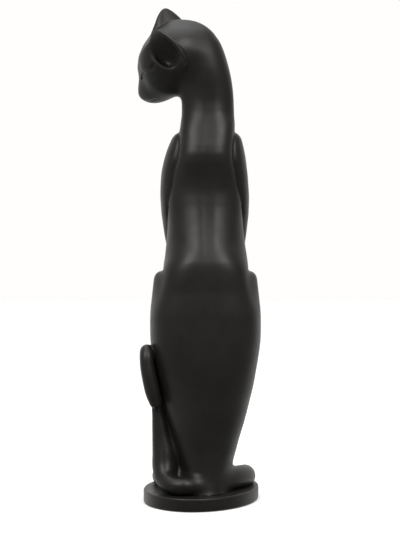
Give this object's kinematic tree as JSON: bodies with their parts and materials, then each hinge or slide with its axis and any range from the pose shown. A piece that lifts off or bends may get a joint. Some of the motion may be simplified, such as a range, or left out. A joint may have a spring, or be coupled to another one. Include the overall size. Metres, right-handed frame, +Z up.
{
  "type": "cat figurine",
  "caption": "Tall slender seated cat on a low oval plinth, head turned over its left shoulder and bowed, tail curled up one side; a free-standing ornament.",
  "frame": {"origin": "centre of the oval plinth's footprint, at the level of the surface the figurine stands on", "axes": "+Z up; +Y the way the cat's chest faces, so its back faces -Y; +X to the cat's right, so its head looks towards -X"},
  "size_m": [0.0999, 0.118, 0.4008],
  "materials": {
    "black_ceramic": "satin-matte black glaze, smooth",
    "felt": "matte pressed felt"
  },
  "bodies": {
    "root": {"plinth": "black_ceramic", "body_casting": "black_ceramic", "head_casting": "black_ceramic", "left_ear": "black_ceramic", "right_ear": "black_ceramic", "left_foreleg": "black_ceramic", "right_foreleg": "black_ceramic", "left_hind_foot": "black_ceramic", "right_hind_foot": "black_ceramic", "tail": "black_ceramic", "felt_pad_rear_left": "felt", "felt_pad_rear_right": "felt", "felt_pad_front_left": "felt", "felt_pad_front_right": "felt"}
  },
  "joints": []
}
